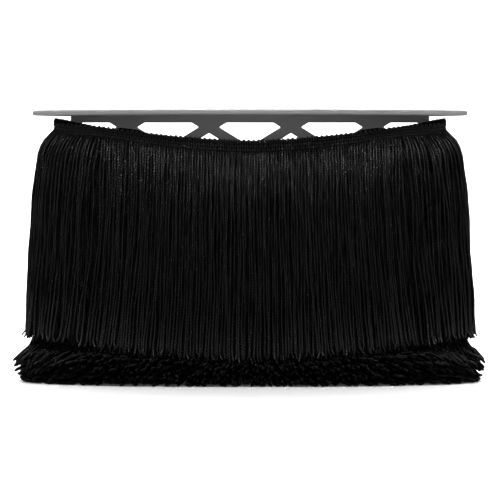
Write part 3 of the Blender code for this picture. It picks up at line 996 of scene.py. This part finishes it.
picots = {
    "Loops": 171, "Points": 40, "Sides": 6, "Radius": 0.00052, "Overhang": 0.13, "Jitter": 0.015, "Seed": 5,
    "Yarn": headingYarn,
}
headingSwell = [
    # (drop below the top edge, how far out): the yarn swells between the rows of chain stitch that hold it
    (-0.0004, -0.0003), (0.0005, 0.0004), (0.0022, 0.0010), (0.0034, -0.0005), (0.0046, 0.0011),
    (0.0058, -0.0005), (0.0070, 0.0011), (0.0081, -0.0005), (0.0090, -0.0004), (0.0098, -0.0016),
]
chainRows = {
    "drops": [0.0034, 0.0058, 0.0081],  # of the rows' middles below the heading's top edge
    "halfHeight": 0.0003,
}
chainLoops = picots | {
    "Loops": 342, "Points": 8, "Sides": 4, "Radius": 0.00028, "Overhang": 0.05, "Jitter": 0.02, "Seed": 30,
    "Yarn": shadedYarn,
}


def picotSheet(name, oval, tops, swell, levels=8):
    squeeze = squeezeAt(roundOval(oval, sheetShares)[0])
    return guideSheet(name, [ring(oval.grown(out), tops - drop * squeeze) for drop, out in swell], levels)


def joined(name, pieces):
    # one mesh of all the pieces, each with its own yarn
    mesh = bmesh.new()
    materials = []
    for piece in pieces:
        material = piece.data.materials[0]
        if material not in materials:
            materials.append(material)
        first = len(mesh.faces)
        mesh.from_mesh(piece.data)
        mesh.faces.ensure_lookup_table()
        for face in mesh.faces[first:]:
            face.material_index = materials.index(material)
        bpy.data.objects.remove(piece)
    return newObject(name, meshFrom(mesh, name, *materials))


# heights against the heading's top edge; a pair is where a change starts and ends, out from the middle
neck = {"rise": 0.0014, "starts": (0.069, 0.077), "ends": (0.088, 0.092), "gain": 1.25, "picotShare": 0.8}
firstTurn = {
    "drop": 0.0012, "cornerRise": 0.0012, "corner": (0.100, 0.130),
    "leastDrop": 0.0006, "shoulderRise": 0.0006, "shoulder": (0.100, 0.114),
    "longer": 0.0006,  # than the heading's own oval, so that it shows at the corners
}
laterTurns = {
    "drop": 0.0014, "unevenness": 0.0008, "phase": 2.4, "cornerDrop": 0.0016, "corner": (0.080, 0.110),
}
outerHeading = {
    "cornerDrop": 0.0022, "corner": (0.100, 0.130),
    "bandInset": 0.0003, "bandDrop": 0.0004, "bandHalf": 0.0005, "bandHeight": 0.0080,
    "picotsOut": 0.0007, "rowsOut": 0.0009,
}


def neckRise(x):
    # by one neck of the board the turn under the last one has ridden up
    away = numpy.abs(x)
    return neck["rise"] * smoothStep(*neck["starts"], away) * (1 - smoothStep(*neck["ends"], away))


def turnTops(turn, oval):
    # the turn under the last one stands a little higher where it shows at the corners and by a neck
    x, _ = roundOval(oval, sheetShares)
    edge, away = headingTopAt(x), numpy.abs(x)
    if turn == 1:
        tops = edge - firstTurn["drop"] + firstTurn["cornerRise"] * smoothStep(*firstTurn["corner"], away)
        tops = numpy.maximum(tops, edge - firstTurn["leastDrop"] + neckRise(x) * neck["gain"])
        return tops + firstTurn["shoulderRise"] * smoothStep(*firstTurn["shoulder"], away)
    tops = edge - laterTurns["drop"] + laterTurns["unevenness"] * math.sin(turn * laterTurns["phase"])
    return tops - laterTurns["cornerDrop"] * smoothStep(*laterTurns["corner"], away)


def addInnerHeadings(name, first, last):
    pieces = []
    for turn in range(first, last + 1):
        oval = headingOval.grown(turns["out"] - turn * turns["spacing"])
        if turn == 1:
            oval = oval._replace(halfLength=headingOval.halfLength + firstTurn["longer"])
        tops = turnTops(turn, oval)
        band = headingRings(oval, tops, turns["bandHalf"], heading["height"])
        pieces.append(closedLoft(f"band_{turn}", band, 12, shadedYarn))
        if turn == 1:
            tops = tops - neckRise(roundOval(oval, sheetShares)[0]) * neck["picotShare"]
        sheet = picotSheet(f"picots_{turn}", oval, tops, [(-0.0004, 0.0), (0.0040, 0.0), (0.0086, 0.0)])
        loops = round(picots["Loops"] * (1 - turns["shortening"] * turn))
        plainer = picots | {"Loops": loops, "Points": 10, "Sides": 4, "Seed": turn}
        pieces.append(growOn(sheet, loopedYarn, plainer))
    return joined(name, pieces)


dress(closedLoft("wound_turns", woundRings(rollRings), 36, shadedYarn), "inner_turns")
wound = curtain | {
    "Points": 18, "Sides": 4, "Radius": 0.00095, "Sway": 0.8, "Lift": 0.0012, "Ragged": 0.0, "Curl": 0.0,
    "Seed": 14,
}
woundSheet = guideSheet("wound_strands", woundRings(reversed(rollRings[:-1]), turns["strandsOut"]), 40)
dress(growOn(woundSheet, strandsOnSheet, wound))
dress(addInnerHeadings("inner_headings", 1, turns["count"] // 2))
dress(addInnerHeadings("innermost_headings", turns["count"] // 2 + 1, turns["count"]))
outerX, _ = roundOval(headingOval, sheetShares)
atCorner = smoothStep(*outerHeading["corner"], numpy.abs(outerX))
outerTops = headingTopAt(outerX) - outerHeading["cornerDrop"] * atCorner
outerBand = headingRings(
    headingOval.grown(-outerHeading["bandInset"]), outerTops - outerHeading["bandDrop"],
    outerHeading["bandHalf"], outerHeading["bandHeight"],
)
dress(closedLoft("heading_band", outerBand, 12, shadedYarn))
picotOval = headingOval.grown(outerHeading["picotsOut"])
outerPicots = picotSheet("heading_picots", picotOval, outerTops, headingSwell, 40)
dress(growOn(outerPicots, loopedYarn, picots))
rowOval = headingOval.grown(outerHeading["rowsOut"])
madeRows = []
for number, drop in enumerate(chainRows["drops"]):
    half = chainRows["halfHeight"]
    middle = outerTops - drop * squeezeAt(outerX)
    rings = [ring(rowOval, middle - down) for down in (-half, 0.0, half)]
    sheet = guideSheet(f"chain_row_{number}", rings, 4)
    madeRows.append(growOn(sheet, loopedYarn, chainLoops | {"Seed": chainLoops["Seed"] + number}))
dress(joined("heading_chain_rows", madeRows))
print("headings made")


# The ends of the turns under the last one: they come out under the curtain and spread over the foot

splayRings = {
    # (half length, half depth, share of the hem's height at the reel's ends, and along its front and back)
    "splay_high": [
        (0.1470, 0.0300, 1.30, 0.95), (0.1500, 0.0335, 0.92, 0.95),
        (0.1560, 0.0400, 0.68, 0.92), (0.1622, 0.0460, 0.40, 0.84),
    ],
    "splay_upper": [
        (0.1470, 0.0300, 1.05, 0.76), (0.1500, 0.0340, 0.74, 0.76),
        (0.1555, 0.0408, 0.52, 0.72), (0.1610, 0.0466, 0.30, 0.62),
    ],
    "splay_middle": [
        (0.1465, 0.0300, 0.80, 0.56), (0.1500, 0.0345, 0.55, 0.56),
        (0.1550, 0.0410, 0.35, 0.52), (0.1600, 0.0470, 0.18, 0.42),
    ],
    "splay_low": [
        (0.1460, 0.0305, 0.58, 0.38), (0.1500, 0.0355, 0.34, 0.36),
        (0.1545, 0.0415, 0.16, 0.30), (0.1588, 0.0473, 0.09, 0.23),
    ],
    "splay_floor": [
        (0.1455, 0.0315, 0.34, 0.20), (0.1500, 0.0358, 0.12, 0.14),
        (0.1540, 0.0415, 0.04, 0.08), (0.1575, 0.0474, 0.04, 0.07),
    ],
}
splay = {
    "Strands": 288, "Points": 11, "Sides": 5, "Radius": 0.00085, "Stagger": 0.5, "Sway": 2.6, "Bunch": 2.2,
    "Lift": 0.0030, "Waves": 2.6, "Ragged": 0.16, "Tip": 0.4, "Curl": 0.0026, "Tuft": 0.4, "Twist": 4.0,
    "Seed": 20,
    "Yarn": frayedYarn,
}


splayEnds = {
    "middle": Oval(0.150, 0.035, 2.4),
    "starts": (0.095, 0.146),  # how far from the reel's middle its ends begin
    "seedStep": 7,
}
splayedStrips = ("splayed_ends_front", "splayed_ends_back", "splayed_ends_left", "splayed_ends_right")


def splaySheet(name, sections):
    # the brush slopes down at the reel's ends, and points straight out along its front and back
    hems = headingTop(sheetShares) - heading["trimLength"]
    middle = splayEnds["middle"]
    atEnds = smoothStep(*splayEnds["starts"], numpy.abs(roundOval(middle, sheetShares)[0]))
    return guideSheet(name, [
        ring(Oval(length, depth, middle.squareness), hems * (ends * atEnds + along * (1 - atEnds)))
        for length, depth, ends, along in sections
    ], 16)


for number, (name, sections) in enumerate(splayRings.items()):
    seed = splay["Seed"] + number * splayEnds["seedStep"]
    tier = growOn(splaySheet(name, sections), strandsOnSheet, splay | {"Seed": seed})
    dress(tier, *(splayedStrips if number == 0 else ()))
print("splayed ends made")
